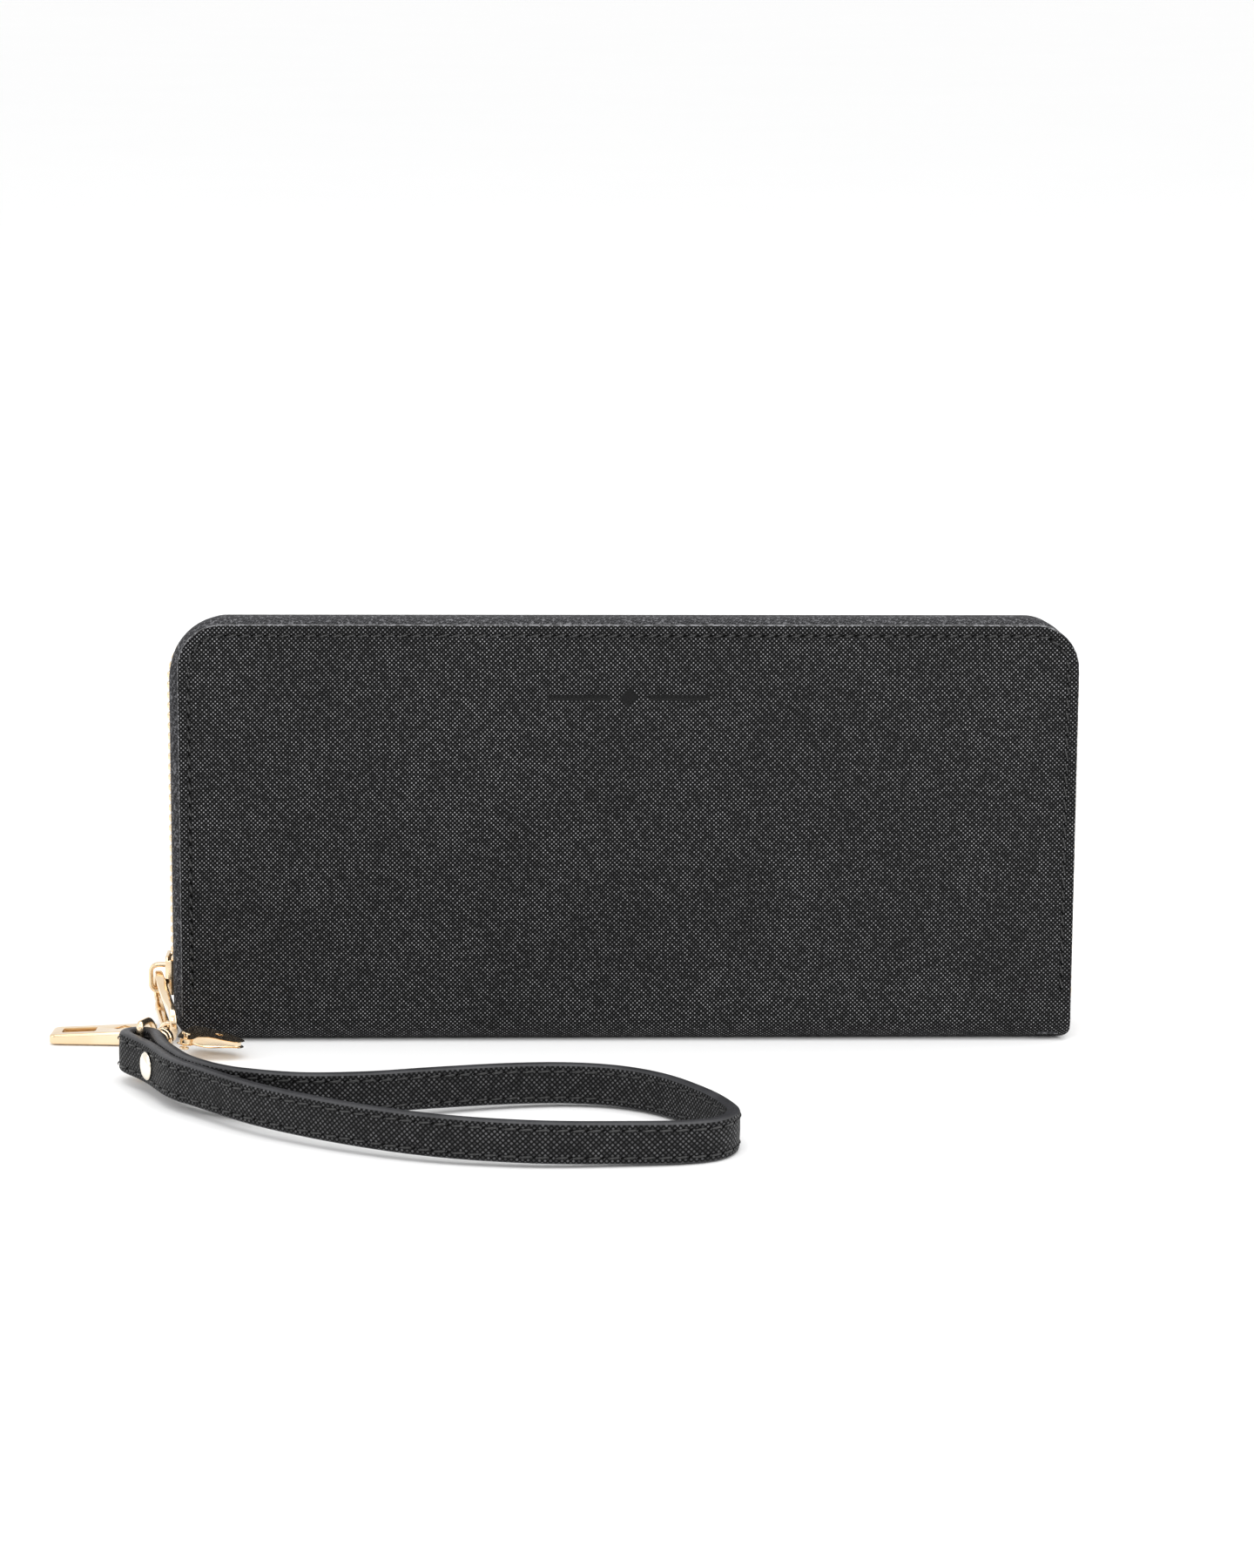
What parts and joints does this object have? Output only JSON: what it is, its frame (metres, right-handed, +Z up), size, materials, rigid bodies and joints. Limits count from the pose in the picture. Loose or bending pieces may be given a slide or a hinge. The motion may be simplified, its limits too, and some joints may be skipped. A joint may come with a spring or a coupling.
{
  "type": "zip around wallet",
  "caption": "Long zip around wallet standing on its spine, opening like a book round a zipped coin pocket, with a bar puller and a clip-on wrist strap.",
  "frame": {"origin": "middle of the flat underside of the spine, on the table", "axes": "+X along the spine, away from the parked slider; +Y from the front cover to the back cover; +Z up to the long run of the zip"},
  "size_m": [0.2308, 0.1268, 0.0952],
  "materials": {
    "cover_leather": "cross-hatch embossed, semi-matt",
    "stiffener": "matt",
    "lining": "woven, matt",
    "card_leather": "smooth, semi-matt",
    "zip_tape": "woven, matt",
    "light_gold": "polished light gold plating",
    "spring_steel": "bright"
  },
  "bodies": {
    "wallet_back": {"spine_and_back_leather": "cover_leather", "spine_board": "stiffener", "back_board": "stiffener", "back_lining": "lining", "back_card_backing": "lining", "back_card_slot_upper": "card_leather", "back_card_slot_middle": "card_leather", "back_card_slot_lower": "card_leather", "back_zip_tape": "zip_tape", "back_zip_teeth": "light_gold", "back_zip_stops": "light_gold", "left_back_gusset": "lining", "right_back_gusset": "lining"},
    "front_cover": {"front_leather": "cover_leather", "front_board": "stiffener", "front_lining": "lining", "front_card_backing": "lining", "front_card_slot_upper": "card_leather", "front_card_slot_middle": "card_leather", "front_card_slot_lower": "card_leather", "front_zip_tape": "zip_tape", "front_zip_teeth": "light_gold", "front_zip_stops": "light_gold"},
    "coin_pocket": {"coin_pocket_front_wall": "lining", "coin_pocket_back_wall": "lining", "coin_pocket_side_band": "lining", "coin_zip_front_tape": "zip_tape", "coin_zip_back_tape": "zip_tape", "coin_zip_front_teeth": "light_gold", "coin_zip_back_teeth": "light_gold", "coin_zip_stops": "light_gold", "left_front_gusset": "lining", "right_front_gusset": "lining"},
    "coin_slider": {"coin_zip_slider": "light_gold"},
    "coin_puller": {"coin_zip_puller": "light_gold"},
    "zip_slider": {"slider_body": "light_gold", "slider_bridge": "light_gold"},
    "ring": {"carrier_ring": "light_gold"},
    "puller": {"bar_puller": "light_gold"},
    "clasp": {"clasp_body": "light_gold", "clasp_lever_pin": "light_gold", "clasp_spring": "spring_steel"},
    "clasp_gate": {"clasp_lever": "light_gold"},
    "swivel_eye": {"clasp_swivel_eye": "light_gold"},
    "strap": {"strap_outer_leather": "cover_leather", "strap_inner_leather": "cover_leather", "strap_rivet": "light_gold"}
  },
  "joints": [
    {"name": "front_cover_open", "type": "hinge", "parent": "wallet_back", "child": "front_cover", "pos_m": [0, -0.0119, 0.0069], "axis": [1, 0, 0], "range_deg": [0, 31]},
    {"name": "coin_pocket_lean", "type": "hinge", "parent": "wallet_back", "child": "coin_pocket", "pos_m": [0, 0, 0.003], "axis": [1, 0, 0], "range_deg": [0, 15.5]},
    {"name": "coin_zip_slide", "type": "slide", "parent": "coin_pocket", "child": "coin_slider", "axis": [1, 0, 0], "range_m": [0, 0.156]},
    {"name": "coin_puller_flip", "type": "hinge", "parent": "coin_slider", "child": "coin_puller", "pos_m": [-0.0772, 0, 0.075], "axis": [0, -1, 0], "range_deg": [0, 85]},
    {"name": "zip_slider_travel", "type": "slide", "parent": "wallet_back", "child": "zip_slider", "axis": [0, 0, 1], "range_m": [0, 0.065]},
    {"name": "ring_swing", "type": "hinge", "parent": "zip_slider", "child": "ring", "pos_m": [-0.1058, 0, 0.0091], "axis": [0, 0, -1], "range_deg": [0, 30]},
    {"name": "puller_flip", "type": "hinge", "parent": "ring", "child": "puller", "pos_m": [-0.10301, -0.0126, 0.00297], "axis": [0.0698, 0.9976, 0], "range_deg": [0, 70]},
    {"name": "clasp_swing", "type": "hinge", "parent": "ring", "child": "clasp", "pos_m": [-0.10144, -0.0192, 0.0049], "axis": [0, 0, -1], "range_deg": [0, 15]},
    {"name": "clasp_gate_open", "type": "hinge", "parent": "clasp", "child": "clasp_gate", "pos_m": [-0.09806, -0.02948, 0.00498], "axis": [0.1542, 0.0404, 0.9872], "range_deg": [0, 16], "stiffness_Nm_per_rad": 0.002, "springref_deg": -11.46, "deforming": ["clasp_spring"]},
    {"name": "clasp_swivel", "type": "hinge", "parent": "clasp", "child": "swivel_eye", "pos_m": [-0.1068, -0.0455, 0.007], "axis": [-0.2496, -0.9652, 0.0785], "range_deg": [0, 75]},
    {"name": "strap_swing", "type": "hinge", "parent": "swivel_eye", "child": "strap", "pos_m": [-0.1068, -0.0455, 0.007], "axis": [-0.0196, -0.076, -0.9969], "range_deg": [0, 60]}
  ],
  "couplings": [
    {"joint": "coin_pocket_lean", "follows": "front_cover_open", "ratio": 0.5}
  ]
}
